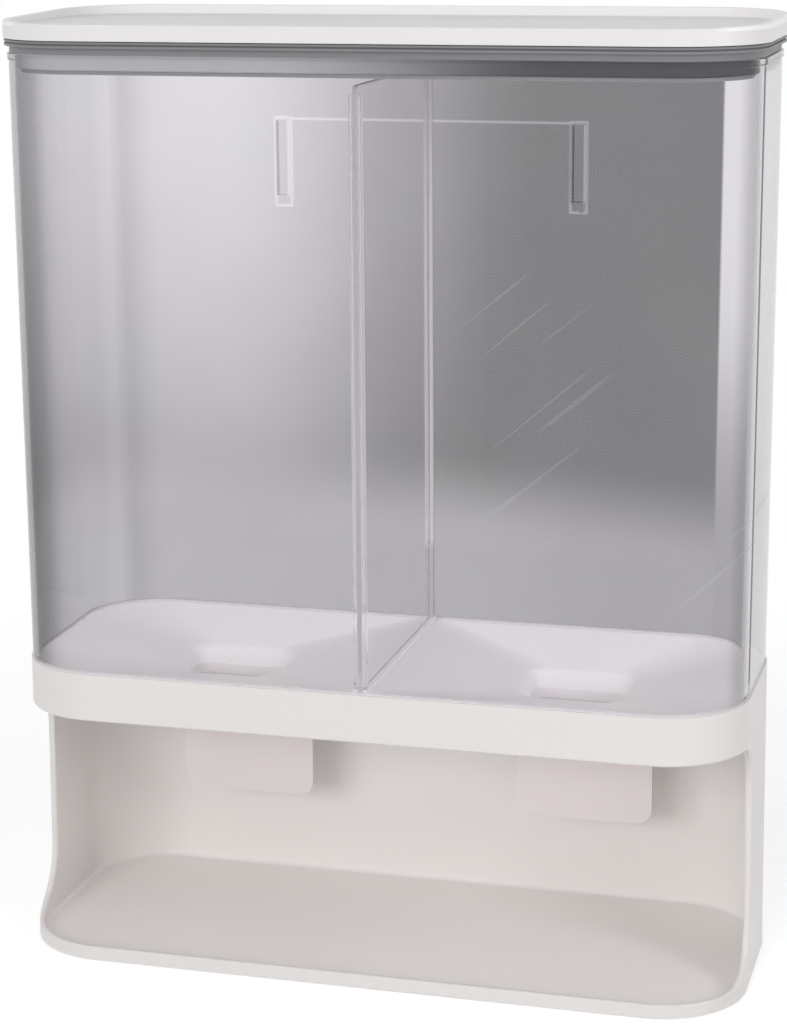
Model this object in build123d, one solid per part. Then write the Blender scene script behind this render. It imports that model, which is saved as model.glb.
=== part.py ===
from build123d import *
import math
import os

# Wall-mounted grain dispenser. A clear divided hopper with a sealed lift-off lid stands on a
# white base whose open bay takes a cup. Pushing a paddle in the bay drops the gate above it.
# Millimetres, +Z up, +X to the right seen from the front, the front towards -Y. The origin is
# the middle of the outline, on the surface that the feet stand on.

# Body outline, shared by base, hopper and lid; lid and tray foot stand proud of it
BODY_WIDTH = 330.0
BODY_DEPTH = 129.0
CORNER_RADIUS = 38.0
EDGE_OVERHANG = 1.5

# Heights of the stacked pieces
FOOT_PROUD = 0.8
BAY_HEIGHT = 113.6
COLLAR_HEIGHT = 21.8
HOPPER_HEIGHT = 272.3
SEAL_NECK_HEIGHT = 2.9
SEAL_FLANGE_HEIGHT = 3.3
LID_HEIGHT = 9.6
LID_FRONT_HEIGHT = 7.0

# Clearances and working values
SEAT_GAP = 0.2
SLIDE_GAP = 0.3
PIN_GAP = 0.05
OVERRUN = 5.0
TOUCH = 0.01
EDGE_SAMPLE_SHARES = (0.2, 0.5, 0.8)

# Base housing
BASE_WALL = 3.0
TRAY_THICKNESS = 2.5
TRAY_FILLET = 2.4
LIP_HEIGHT = 5.8
SIDE_EDGE_SETBACK = 46.5
BAY_TOP_RADIUS = 18.0
BAY_BOTTOM_RADIUS = 30.0
RIM_ROUND = 1.2
LEDGE_WIDTH = 9.0
LEDGE_THICKNESS = 2.0
LEDGE_DEPTH = 7.2

# Hopper wall
CONTAINER_INSET = 0.6
CONTAINER_WALL = 2.5
TONGUE_THICKNESS = 1.4
TONGUE_LENGTH = 6.2
BEAD_PROUD = 0.6
BEAD_HEIGHT = 3.2
BEAD_ROUND = 0.5
GUIDE_THICKNESS = 1.4
GUIDE_DEPTH = 4.0
GUIDE_TOP_DROP = 14.5
HANGER_SPACING = 140.0
HANGER_WIDTH = 7.4
HANGER_HEIGHT = 40.8
HANGER_TOP_DROP = 35.6
HANGER_PROUD = 3.0
HANGER_SKIN = 1.2
HANGER_CHAMFER = 5.0
HANGER_LEDGE = 0.9

# Divider plate
DIVIDER_THICKNESS = 2.0
DIVIDER_TOP_DROP = 11.0
DIVIDER_CORNER = 4.0

# Hopper floor with its two funnels and outlets
FLOOR_WALL = 2.2
RIM_LAND = 1.4
RIDGE_WIDTH = 6.4
RIDGE_RISE = 1.6
RIDGE_KEEL = 2.0
RIDGE_SLOT_DEPTH = 3.0
CELL_CORNER = 6.0
OUTLET_TO_BACK = 54.5
WELL_WIDTH = 50.0
WELL_DEPTH = 46.0
WELL_CORNER = 12.0
WELL_DROP = 11.7
WELL_ROUND = 6.0
THROAT_WIDTH = 44.0
THROAT_DEPTH = 22.0
THROAT_OFFSET = 4.0
THROAT_CORNER = 5.0
THROAT_DROP = 7.0
THROAT_LENGTH = 4.5

# Outlet chutes with the hinge lugs
CHUTE_WALL = 2.0
CHUTE_LENGTH = 9.0
FLANGE_THICKNESS = 2.5
FLANGE_MARGIN = 3.0
FLANGE_TAIL = 14.0
LUG_THICKNESS = 3.0
LUG_RADIUS = 5.0

# Dispensing levers: paddle, gate flap and hub in one moulding
PADDLE_WIDTH = 64.0
PADDLE_THICKNESS = 2.5
PADDLE_DROP = 53.4
PADDLE_CORNER = 7.5
PADDLE_GAP = 1.1
FLAP_WIDTH = 50.0
FLAP_THICKNESS = 2.5
FLAP_LAP = 1.0
HUB_RADIUS = 3.2
WEB_HEIGHT = 6.0
GUSSET_SIZE = 12.0
GUSSET_THICKNESS = 2.0
GUSSET_SPACING = 36.0
SPRING_BAY = 12.0
PAD_THICKNESS = 1.5
PAD_MARGIN = 0.5

# Hinge pins and return springs
PIN_RADIUS = 1.5
PIN_HEAD_RADIUS = 2.6
PIN_HEAD_LENGTH = 1.2
PIN_TAIL = 1.0
SPRING_WIRE = 0.8
SPRING_MEAN_RADIUS = 2.9
SPRING_PITCH = 1.4
SPRING_TURNS = 4
SPRING_SAMPLES = 48
SPRING_END_GAP = 2.5
SPRING_LEG_GAP = 0.1
SPRING_BACK_LEG = 12.0
SPRING_DOWN_LEG = 18.0

# Lid, liner and seal
LID_WALL = 2.4
LID_RIM = 2.8
LID_ROUND = 0.6
DISH_HEIGHT = 5.2
DISH_DRAFT = 1.2
DISH_ROUND = 1.0
DISH_THICKNESS = 2.0
SPIGOT_THICKNESS = 2.0
SPIGOT_LENGTH = 9.0
LINER_WALL = 2.0
LINER_LIP = 1.6
LINER_LIP_REACH = 1.5
SEAL_SKIRT_LENGTH = 6.5
SEAL_SKIRT_THICKNESS = 3.7
SEAL_FLANGE_INSET = 0.3
SEAL_NECK_INSET = 2.2
SEAL_GROOVE_DEPTH = 0.6
SEAL_GROOVE_HEIGHT = 0.5
GASKET_THICKNESS = 1.0

# Screws and feet
SCREW_RADIUS = 1.3
SCREW_HEAD_RADIUS = 2.7
SCREW_HEAD_HEIGHT = 1.8
SCREW_BITE = 4.4
SCREW_HOLE_GAP = 0.3
BOSS_RADIUS = 3.5
CHUTE_SCREW_GAP = 5.5
CHUTE_SCREW_EDGE = 6.6
CHUTE_SCREW_SPACING_Y = 21.0
FLOOR_SCREW_FROM_CORNER = 7.0
FLOOR_SCREW_INSET = 7.7
FOOT_RADIUS = 6.0
FOOT_POCKET = 0.8
FOOT_SPACING_X = 250.0
FOOT_SPACING_Y = 84.0

# Places that follow from these sizes
BACK_Y = (BODY_DEPTH + EDGE_OVERHANG) / 2
FRONT_Y = BACK_Y - BODY_DEPTH
MID_Y = (FRONT_Y + BACK_Y) / 2
BASE_Z = FOOT_PROUD
TRAY_Z = BASE_Z + TRAY_THICKNESS
LIP_Z = BASE_Z + LIP_HEIGHT
COLLAR_LOW_Z = BASE_Z + BAY_HEIGHT
COLLAR_Z = COLLAR_LOW_Z + COLLAR_HEIGHT
LEDGE_Z = COLLAR_Z - LEDGE_DEPTH
RIM_Z = COLLAR_Z + HOPPER_HEIGHT
LID_Z = RIM_Z + SEAL_NECK_HEIGHT + SEAL_FLANGE_HEIGHT
TOP_Z = LID_Z + LID_HEIGHT
DISH_Z = LID_Z + DISH_HEIGHT
RIM_SLOPE = (LID_HEIGHT - LID_FRONT_HEIGHT) / (2 * BACK_Y)
INNER_INSET = CONTAINER_INSET + CONTAINER_WALL
FLOOR_INSET = INNER_INSET + SEAT_GAP
CELL_INSET = FLOOR_INSET + RIM_LAND
RIDGE_Z = COLLAR_Z + RIDGE_RISE
OUTLET_X = (RIDGE_WIDTH / 2 + BODY_WIDTH / 2 - CELL_INSET) / 2
OUTLET_Y = BACK_Y - OUTLET_TO_BACK
THROAT_Y = OUTLET_Y + THROAT_OFFSET
WELL_Z = COLLAR_Z - WELL_DROP
THROAT_Z = WELL_Z - THROAT_DROP
CHUTE_Z = THROAT_Z - THROAT_LENGTH
FLANGE_LOW_Z = CHUTE_Z - FLANGE_THICKNESS
MOUTH_Z = CHUTE_Z - CHUTE_LENGTH
SPRING_OUTER = SPRING_MEAN_RADIUS + SPRING_WIRE / 2
PADDLE_FRONT_Y = THROAT_Y + THROAT_DEPTH / 2 + CHUTE_WALL + PADDLE_GAP
PADDLE_BACK_Y = PADDLE_FRONT_Y + PADDLE_THICKNESS
HINGE_Y = PADDLE_BACK_Y + SPRING_LEG_GAP + SPRING_OUTER
HINGE_Z = FLANGE_LOW_Z - SLIDE_GAP - SPRING_OUTER
FLAP_Z = MOUTH_Z - PAD_THICKNESS
FLAP_LOW_Z = FLAP_Z - FLAP_THICKNESS
FLAP_FRONT_Y = THROAT_Y - THROAT_DEPTH / 2 - CHUTE_WALL - FLAP_LAP
LUG_X = PADDLE_WIDTH / 2 + PADDLE_GAP
CHUTE_SCREW_X = THROAT_WIDTH / 2 + CHUTE_WALL + CHUTE_SCREW_GAP
HUB_LOW_X = SPRING_BAY - PADDLE_WIDTH / 2

LOW = Align.MIN
MID = Align.CENTER
SIDES = {"left": -OUTLET_X, "right": OUTLET_X}


def outline(inset, z):
    """Body outline drawn in by inset, as a face at height z."""
    width = BODY_WIDTH - 2 * inset
    depth = BODY_DEPTH - 2 * inset
    return Pos(0, MID_Y, z) * RectangleRounded(width, depth, CORNER_RADIUS - inset)


def slab(inset, low, high):
    """Body outline drawn in by inset, from one height to another."""
    return extrude(outline(inset, low), high - low)


def ring(outer_inset, inner_inset, low, high):
    """Band of wall between two insets of the body outline."""
    return slab(outer_inset, low, high) - slab(inner_inset, low - OVERRUN, high + OVERRUN)


def lid_outline(inset, z):
    """Lid outline drawn in by inset: proud at the front and sides, flush with the back."""
    width = BODY_WIDTH + 2 * (EDGE_OVERHANG - inset)
    depth = BODY_DEPTH + EDGE_OVERHANG - 2 * inset
    return Pos(0, 0, z) * RectangleRounded(width, depth, CORNER_RADIUS + EDGE_OVERHANG - inset)


def lid_slab(inset, low, high):
    """Lid outline drawn in by inset, from one height to another."""
    return extrude(lid_outline(inset, low), high - low)


def block(low_corner, high_corner):
    """Box between two corners."""
    sizes = [high - low for low, high in zip(low_corner, high_corner)]
    return Pos(*low_corner) * Box(*sizes, align=(LOW, LOW, LOW))


def upright(radius, x, y, low, high):
    """Round bar along Z."""
    return Pos(x, y, low) * Cylinder(radius, high - low, align=(MID, MID, LOW))


def crossbar(radius, low_x, high_x):
    """Round bar along X on the lever's hinge axis."""
    bar = Cylinder(radius, high_x - low_x, align=(MID, MID, LOW))
    return Pos(low_x, HINGE_Y, HINGE_Z) * Rot(0, 90, 0) * bar


def throat_outline(grow, z):
    """Outlet throat at x = 0, grown by a wall thickness."""
    width = THROAT_WIDTH + 2 * grow
    depth = THROAT_DEPTH + 2 * grow
    return Pos(0, THROAT_Y, z) * RectangleRounded(width, depth, THROAT_CORNER + grow)


def mirrored(shape):
    """A shape on the right and its mirror image on the left."""
    return shape + mirror(shape, about=Plane.YZ)


def floor_screw_places():
    """Screw places round the ledge: two at the front, two at the back, one at each side."""
    half = BODY_WIDTH / 2 - CORNER_RADIUS - FLOOR_SCREW_FROM_CORNER
    side = BODY_WIDTH / 2 - FLOOR_SCREW_INSET
    front = FRONT_Y + FLOOR_SCREW_INSET
    back = BACK_Y - FLOOR_SCREW_INSET
    return [(-half, front), (half, front), (-half, back), (half, back), (-side, MID_Y), (side, MID_Y)]


def chute_screw_places():
    """Four screw places round one outlet, about x = 0."""
    half_y = CHUTE_SCREW_SPACING_Y / 2
    return [(x, THROAT_Y + y) for x in (-CHUTE_SCREW_X, CHUTE_SCREW_X) for y in (-half_y, half_y)]


def foot_places():
    """Centres of the four feet."""
    half_x = FOOT_SPACING_X / 2
    half_y = FOOT_SPACING_Y / 2
    return [(x, MID_Y + y) for x in (-half_x, half_x) for y in (-half_y, half_y)]


def bay_window():
    """The front opening of the bay, a C seen from the side, and its line in the YZ plane."""
    edge_y = FRONT_Y + SIDE_EDGE_SETBACK
    start_y = FRONT_Y - OVERRUN
    corners = [(start_y, LIP_Z), (edge_y, LIP_Z), (edge_y, COLLAR_LOW_Z), (start_y, COLLAR_LOW_Z)]
    profile = Plane.YZ * make_face(Polyline(*corners, close=True))
    back_corners = profile.vertices().group_by(Axis.Y)[-1].sort_by(Axis.Z)
    profile = fillet(back_corners[0], BAY_BOTTOM_RADIUS)
    profile = fillet(profile.vertices().group_by(Axis.Z)[-1].sort_by(Axis.Y)[-1], BAY_TOP_RADIUS)
    return extrude(profile, BODY_WIDTH / 2 + OVERRUN, both=True), profile.face().outer_wire()


def drafted(inset, low, high):
    """Base body drawn in by inset: the lid's outline at the foot, the body outline at the top."""
    return loft([lid_outline(inset, low).face(), outline(inset, high).face()], ruled=True)


def base_housing():
    """Tray, back and side walls and the collar, with the ledge that carries hopper and floor."""
    bay = drafted(BASE_WALL, TRAY_Z, LEDGE_Z - LEDGE_THICKNESS)
    bay = fillet(bay.edges().group_by(Axis.Z)[0], TRAY_FILLET)
    housing = drafted(0, BASE_Z, COLLAR_Z) - bay
    window, window_line = bay_window()
    housing -= window

    def on_window(edge):
        points = [edge.position_at(share) for share in EDGE_SAMPLE_SHARES]
        return all(window_line.distance_to(Vertex(0, p.Y, p.Z)) < TOUCH for p in points)

    housing = fillet(housing.edges().filter_by(on_window), RIM_ROUND)
    lip_inset = CONTAINER_INSET + CONTAINER_WALL - TONGUE_THICKNESS - SEAT_GAP
    housing -= slab(lip_inset, LEDGE_Z, COLLAR_Z + OVERRUN)
    housing -= slab(BASE_WALL + LEDGE_WIDTH, LEDGE_Z - LEDGE_THICKNESS - OVERRUN, LEDGE_Z + OVERRUN)
    for x, y in floor_screw_places():
        housing -= upright(SCREW_RADIUS + SCREW_HOLE_GAP, x, y, LEDGE_Z - OVERRUN, LEDGE_Z + OVERRUN)
    for x, y in foot_places():
        housing -= upright(FOOT_RADIUS + SEAT_GAP, x, y, BASE_Z - OVERRUN, BASE_Z + FOOT_POCKET)
    return housing


def anti_slip_feet():
    """Four soft discs set in shallow pockets under the tray."""
    top = BASE_Z + FOOT_POCKET
    feet = [upright(FOOT_RADIUS, x, y, 0, top) for x, y in foot_places()]
    return Compound(children=feet)


def cell_outline(z):
    """Top outline of the right-hand funnel, from the ridge to the rim land."""
    low_x = RIDGE_WIDTH / 2
    high_x = BODY_WIDTH / 2 - CELL_INSET
    cell = Rectangle(high_x - low_x, BODY_DEPTH - 2 * CELL_INSET)
    cell = fillet(cell.vertices().group_by(Axis.X)[-1], CORNER_RADIUS - CELL_INSET)
    cell = fillet(cell.vertices().group_by(Axis.X)[0], CELL_CORNER)
    return Pos((low_x + high_x) / 2, MID_Y, z) * cell


def well_outline(grow, z):
    """Edge of the right-hand outlet well, grown by a wall thickness."""
    well = RectangleRounded(WELL_WIDTH + 2 * grow, WELL_DEPTH + 2 * grow, WELL_CORNER + grow)
    return Pos(OUTLET_X, OUTLET_Y, z) * well


def funnel(grow, sink):
    """Right-hand funnel, well and throat as one solid, grown and sunk to make its outside."""
    top = cell_outline(COLLAR_Z - sink)
    well = well_outline(grow, WELL_Z - sink)
    neck = Pos(OUTLET_X, 0, 0) * throat_outline(grow, THROAT_Z - sink)
    slopes = loft([top.face(), well.face()], ruled=True) + loft([well.face(), neck.face()], ruled=True)

    def on_well(edge):
        heights = [edge.position_at(share).Z for share in EDGE_SAMPLE_SHARES]
        return all(abs(height - WELL_Z + sink) < TOUCH for height in heights)

    slopes = fillet(slopes.edges().filter_by(on_well), WELL_ROUND)
    return slopes + extrude(neck, CHUTE_Z - THROAT_Z + sink)


def hopper_floor():
    """Twin funnel tray: rim on the ledge, slopes to two outlets, ridge that holds the divider."""
    plate = slab(FLOOR_INSET, COLLAR_Z - FLOOR_WALL, COLLAR_Z)
    plate += ring(FLOOR_INSET, FLOOR_INSET + FLOOR_WALL, LEDGE_Z, COLLAR_Z)
    plate += mirrored(funnel(FLOOR_WALL, FLOOR_WALL))
    for x, y in floor_screw_places():
        plate += upright(BOSS_RADIUS, x, y, LEDGE_Z, COLLAR_Z - FLOOR_WALL / 2)
    for offset in SIDES.values():
        for x, y in chute_screw_places():
            plate += upright(BOSS_RADIUS, offset + x, y, CHUTE_Z, COLLAR_Z - FLOOR_WALL / 2)
    ridge_low = (-RIDGE_WIDTH / 2, FRONT_Y + FLOOR_INSET, COLLAR_Z - FLOOR_WALL - RIDGE_KEEL)
    ridge_high = (RIDGE_WIDTH / 2, BACK_Y - FLOOR_INSET, RIDGE_Z)
    plate += block(ridge_low, ridge_high)
    hollow = funnel(0, 0) + extrude(cell_outline(COLLAR_Z), RIDGE_RISE)
    hollow += extrude(Pos(OUTLET_X, 0, 0) * throat_outline(0, CHUTE_Z), -OVERRUN)
    plate -= mirrored(hollow)
    slot_half = DIVIDER_THICKNESS / 2 + SEAT_GAP
    slot_low = (-slot_half, FRONT_Y, RIDGE_Z - RIDGE_SLOT_DEPTH)
    plate -= block(slot_low, (slot_half, BACK_Y, RIDGE_Z + OVERRUN))
    for x, y in floor_screw_places():
        plate -= upright(SCREW_RADIUS, x, y, LEDGE_Z - OVERRUN, LEDGE_Z + SCREW_BITE)
    for offset in SIDES.values():
        for x, y in chute_screw_places():
            plate -= upright(SCREW_RADIUS, offset + x, y, CHUTE_Z - OVERRUN, CHUTE_Z + SCREW_BITE)
    return plate


def guide_half():
    """Outer face of a divider guide, from the middle of the divider."""
    return DIVIDER_THICKNESS / 2 + SEAT_GAP + GUIDE_THICKNESS


def container():
    """Clear hopper wall with its seating tongue, rim bead, divider guides and hanger bosses."""
    wall = slab(CONTAINER_INSET, COLLAR_Z, RIM_Z)
    bead = slab(CONTAINER_INSET - BEAD_PROUD, RIM_Z - BEAD_HEIGHT, RIM_Z)
    wall += fillet(bead.edges().filter_by(Plane.XY), BEAD_ROUND)
    wall += slab(INNER_INSET - TONGUE_THICKNESS, COLLAR_Z - TONGUE_LENGTH, COLLAR_Z)
    wall -= slab(INNER_INSET, COLLAR_Z - TONGUE_LENGTH - OVERRUN, RIM_Z + OVERRUN)
    guide_high = guide_half()
    guide_low = guide_high - GUIDE_THICKNESS
    front_y = FRONT_Y + CONTAINER_INSET + CONTAINER_WALL / 2
    back_y = BACK_Y - CONTAINER_INSET - CONTAINER_WALL / 2
    reach = CONTAINER_WALL / 2 + GUIDE_DEPTH
    low_z = RIDGE_Z + SLIDE_GAP
    high_z = RIM_Z - GUIDE_TOP_DROP
    for start, end in ((front_y, front_y + reach), (back_y - reach, back_y)):
        guide = block((guide_low, start, low_z), (guide_high, end, high_z))
        wall += mirrored(guide)
    return wall + hanger_bosses() - hanger_pockets()


def hanger_bosses():
    """Two ridges inside the back wall, joined at their tops by a thin ledge."""
    face_y = BACK_Y - INNER_INSET
    high_z = RIM_Z - HANGER_TOP_DROP
    low_x = (HANGER_SPACING - HANGER_WIDTH) / 2
    high_x = low_x + HANGER_WIDTH
    root_y = face_y + CONTAINER_WALL / 2
    boss = block((low_x, face_y - HANGER_PROUD, high_z - HANGER_HEIGHT), (high_x, root_y, high_z))
    foot = boss.edges().filter_by(Axis.Y).group_by(Axis.Z)[0].sort_by(Axis.X)[0]
    boss = chamfer(foot, HANGER_CHAMFER)
    boss = fillet(boss.faces().sort_by(Axis.Y)[0].edges(), HANGER_PROUD / 2)
    ledge_low = (guide_half() - GUIDE_THICKNESS / 2, face_y - HANGER_LEDGE, high_z - HANGER_LEDGE)
    return mirrored(boss + block(ledge_low, (low_x, root_y, high_z)))


def hanger_pockets():
    """Pockets behind the bosses, open to the back, that drop over the studs of a wall plate."""
    high_z = RIM_Z - HANGER_TOP_DROP - HANGER_SKIN
    half = HANGER_WIDTH / 2 - HANGER_SKIN
    centre = HANGER_SPACING / 2
    deep_y = BACK_Y - INNER_INSET - HANGER_PROUD + HANGER_SKIN
    low_z = high_z - HANGER_HEIGHT + HANGER_CHAMFER + HANGER_SKIN
    return mirrored(block((centre - half, deep_y, low_z), (centre + half, BACK_Y + OVERRUN, high_z)))


def divider():
    """Clear plate that stands in the ridge slot, between the guides."""
    half = DIVIDER_THICKNESS / 2
    low_z = RIDGE_Z - RIDGE_SLOT_DEPTH
    front = FRONT_Y + INNER_INSET + SLIDE_GAP
    back = BACK_Y - INNER_INSET - SLIDE_GAP
    plate = block((-half, front, low_z), (half, back, RIM_Z - DIVIDER_TOP_DROP))
    return fillet(plate.edges().filter_by(Axis.X).group_by(Axis.Z)[-1], DIVIDER_CORNER)


def container_gasket():
    """Flat ring in the collar groove, under the hopper's tongue."""
    low = COLLAR_Z - TONGUE_LENGTH - GASKET_THICKNESS
    return ring(INNER_INSET - TONGUE_THICKNESS, INNER_INSET, low, low + GASKET_THICKNESS)


def outlet_chute():
    """Spout under one outlet at x = 0, with its fixing flange and two hinge lugs."""
    half = LUG_X + LUG_THICKNESS
    flange_half = CHUTE_SCREW_X + CHUTE_SCREW_EDGE
    front = FLAP_FRONT_Y - FLANGE_MARGIN
    back = HINGE_Y + FLANGE_TAIL
    chute = block((-flange_half, front, FLANGE_LOW_Z), (flange_half, back, CHUTE_Z))
    chute += block((-half, HINGE_Y - LUG_RADIUS, FLANGE_LOW_Z), (half, back, CHUTE_Z))
    chute += extrude(throat_outline(CHUTE_WALL, MOUTH_Z), CHUTE_LENGTH)
    for low_x in (-half, LUG_X):
        lug_low = (low_x, HINGE_Y - LUG_RADIUS, HINGE_Z)
        lug_high = (low_x + LUG_THICKNESS, HINGE_Y + LUG_RADIUS, FLANGE_LOW_Z)
        chute += block(lug_low, lug_high) + crossbar(LUG_RADIUS, low_x, low_x + LUG_THICKNESS)
    chute -= extrude(throat_outline(0, MOUTH_Z - OVERRUN), CHUTE_LENGTH + 2 * OVERRUN)
    chute -= crossbar(PIN_RADIUS + PIN_GAP, -half - OVERRUN, half + OVERRUN)
    for x, y in chute_screw_places():
        chute -= upright(SCREW_RADIUS + SCREW_HOLE_GAP, x, y, FLANGE_LOW_Z - OVERRUN, CHUTE_Z + OVERRUN)
    return chute


def dispensing_lever():
    """L-shaped rocker at x = 0: gate flap forward, paddle down, hub on the pin."""
    half = PADDLE_WIDTH / 2
    low_z = HINGE_Z - PADDLE_DROP
    paddle = block((-half, PADDLE_FRONT_Y, low_z), (half, PADDLE_BACK_Y, HINGE_Z))
    paddle = fillet(paddle.edges().filter_by(Axis.Y).group_by(Axis.Z)[0], PADDLE_CORNER)
    notch_z = HINGE_Z - SPRING_OUTER - WEB_HEIGHT / 2
    notch_low = (-half - OVERRUN, PADDLE_FRONT_Y - OVERRUN, notch_z)
    paddle -= block(notch_low, (HUB_LOW_X, PADDLE_BACK_Y + OVERRUN, HINGE_Z + OVERRUN))
    web_low = (HUB_LOW_X, PADDLE_FRONT_Y, HINGE_Z - WEB_HEIGHT)
    lever = paddle + block(web_low, (half, HINGE_Y, HINGE_Z)) + crossbar(HUB_RADIUS, HUB_LOW_X, half)
    flap_half = FLAP_WIDTH / 2
    flap = block((-flap_half, FLAP_FRONT_Y, FLAP_LOW_Z), (flap_half, PADDLE_BACK_Y, FLAP_Z))
    lever += flap
    inner_y = PADDLE_FRONT_Y + PADDLE_THICKNESS / 2
    inner_z = FLAP_Z - FLAP_THICKNESS / 2
    corners = [(inner_y, inner_z), (PADDLE_FRONT_Y - GUSSET_SIZE, inner_z)]
    corners += [(PADDLE_FRONT_Y - GUSSET_SIZE, FLAP_LOW_Z)]
    corners += [(PADDLE_FRONT_Y, FLAP_LOW_Z - GUSSET_SIZE), (inner_y, FLAP_LOW_Z - GUSSET_SIZE)]
    gusset = extrude(Plane.YZ * make_face(Polyline(*corners, close=True)), GUSSET_THICKNESS / 2, both=True)
    lever += Pos(-GUSSET_SPACING / 2, 0, 0) * gusset + Pos(GUSSET_SPACING / 2, 0, 0) * gusset
    return lever - crossbar(PIN_RADIUS + PIN_GAP, HUB_LOW_X - OVERRUN, half + OVERRUN)


def gate_pad():
    """Soft pad on the flap, shut against the rim of the spout at x = 0."""
    half = FLAP_WIDTH / 2 - PAD_MARGIN
    back = PADDLE_FRONT_Y - PAD_MARGIN
    return block((-half, FLAP_FRONT_Y + PAD_MARGIN, FLAP_Z), (half, back, MOUTH_Z))


def hinge_pin():
    """Headed steel pin through both lugs and the hub at x = 0."""
    half = LUG_X + LUG_THICKNESS
    head = crossbar(PIN_HEAD_RADIUS, half, half + PIN_HEAD_LENGTH)
    return head + crossbar(PIN_RADIUS, -half - PIN_TAIL, half)


def spring_point(turn, start_x):
    """Point and direction of the coil after a number of turns from its top."""
    angle = 2 * math.pi * turn
    rise = SPRING_PITCH / (2 * math.pi)
    y = HINGE_Y - SPRING_MEAN_RADIUS * math.sin(angle)
    z = HINGE_Z + SPRING_MEAN_RADIUS * math.cos(angle)
    forward = Vector(rise, -SPRING_MEAN_RADIUS * math.cos(angle), -SPRING_MEAN_RADIUS * math.sin(angle))
    return Vector(start_x + SPRING_PITCH * turn, y, z), forward.normalized()


def biarc(start, start_way, end, end_way):
    """Two tangent arcs from one point and direction to another."""
    gap = end - start
    ways = start_way + end_way
    a = 2 * (1 - start_way.dot(end_way))
    b = 2 * gap.dot(ways)
    reach = (math.sqrt(b * b + 4 * a * gap.dot(gap)) - b) / (2 * a)
    middle = (start + start_way * reach + end - end_way * reach) / 2
    middle_way = (end - end_way * reach - start - start_way * reach).normalized()
    return [TangentArc(start, middle, tangent=start_way), TangentArc(middle, end, tangent=middle_way)]


def self_gap(wire):
    """Least gap between stretches of the wire that lie at least half a turn apart, on points."""
    count = SPRING_SAMPLES * (SPRING_TURNS + 1)
    points = [wire.position_at(index / count) for index in range(count + 1)]
    apart = math.ceil(math.pi * SPRING_MEAN_RADIUS / (wire.length / count))
    pairs = [(first, second) for index, first in enumerate(points) for second in points[index + apart:]]
    return min((first - second).length for first, second in pairs) - SPRING_WIRE


def return_spring():
    """Torsion spring at x = 0: back leg under the flange, coil on the pin, leg behind the paddle."""
    start_x = SPRING_END_GAP - LUG_X
    quarters = 4 * SPRING_TURNS + 1
    stations = [spring_point(quarter / 4, start_x) for quarter in range(quarters + 1)]
    first, first_way = stations[0]
    last, last_way = stations[-1]
    path = [Line(first - first_way * SPRING_BACK_LEG, first)]
    for (start, start_way), (end, end_way) in zip(stations, stations[1:]):
        path += biarc(start, start_way, end, end_way)
    path.append(Line(last, last + last_way * SPRING_DOWN_LEG))
    wire = Wire(path)
    print("spring self gap", round(self_gap(wire), 2), "mm")
    section = Plane(origin=wire @ 0, z_dir=wire % 0) * Circle(SPRING_WIRE / 2)
    return sweep(section, path=wire)


def screw(x, y, seat, length):
    """Pan-head screw that points up, its head under a seat at the given height."""
    head = upright(SCREW_HEAD_RADIUS, x, y, seat - SCREW_HEAD_HEIGHT, seat)
    return head + upright(SCREW_RADIUS, x, y, seat, seat + length)


def floor_screws():
    """Six screws up through the ledge into the hopper floor."""
    length = LEDGE_THICKNESS + SCREW_BITE - SEAT_GAP
    seat = LEDGE_Z - LEDGE_THICKNESS
    return Compound(children=[screw(x, y, seat, length) for x, y in floor_screw_places()])


def chute_screws(offset):
    """Four screws up through one chute's flange into the hopper floor."""
    length = FLANGE_THICKNESS + SCREW_BITE - SEAT_GAP
    return Compound(children=[screw(offset + x, y, FLANGE_LOW_Z, length) for x, y in chute_screw_places()])


def above_rim():
    """Space above the lid's rim, which stands lower at the front than at the back."""
    reach = BACK_Y + OVERRUN
    front_z = TOP_Z - RIM_SLOPE * (BACK_Y + reach)
    back_z = TOP_Z + RIM_SLOPE * OVERRUN
    corners = [(-reach, front_z), (reach, back_z), (reach, back_z + OVERRUN), (-reach, back_z + OVERRUN)]
    profile = Plane.YZ * make_face(Polyline(*corners, close=True))
    return extrude(profile, BODY_WIDTH / 2 + OVERRUN, both=True)


def on_rim(edge):
    """Whether an edge lies on the lid's sloping rim."""
    points = [edge.position_at(share) for share in EDGE_SAMPLE_SHARES]
    return all(abs(p.Z - TOP_Z + RIM_SLOPE * (BACK_Y - p.Y)) < TOUCH for p in points)


def lid_cover():
    """White lid with a shallow dish, a thin sloping rim and a spigot that carries the liner."""
    cover = lid_slab(0, LID_Z, TOP_Z) - above_rim()
    floor = lid_outline(LID_RIM + DISH_DRAFT, DISH_Z)
    dish = loft([floor.face(), lid_outline(LID_RIM, TOP_Z).face()], ruled=True)
    cover -= fillet(dish.edges().group_by(Axis.Z)[0], DISH_ROUND)
    under_z = DISH_Z - DISH_THICKNESS
    cover -= lid_slab(LID_WALL, LID_Z - OVERRUN, under_z)
    cover = fillet(cover.edges().filter_by(on_rim), LID_ROUND)
    spigot_inset = liner_inset() + LINER_WALL + SEAT_GAP
    spigot_low = LID_Z - SPIGOT_LENGTH
    spigot_high = DISH_Z - DISH_THICKNESS / 2
    return cover + ring(spigot_inset, spigot_inset + SPIGOT_THICKNESS, spigot_low, spigot_high)


def liner_inset():
    """How far the liner's wall stands in from the body outline."""
    return INNER_INSET + SLIDE_GAP + SEAL_SKIRT_THICKNESS + SEAT_GAP / 2


def seal_low_z():
    """Lower edge of the seal's skirt."""
    return RIM_Z - SEAL_SKIRT_LENGTH


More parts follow.
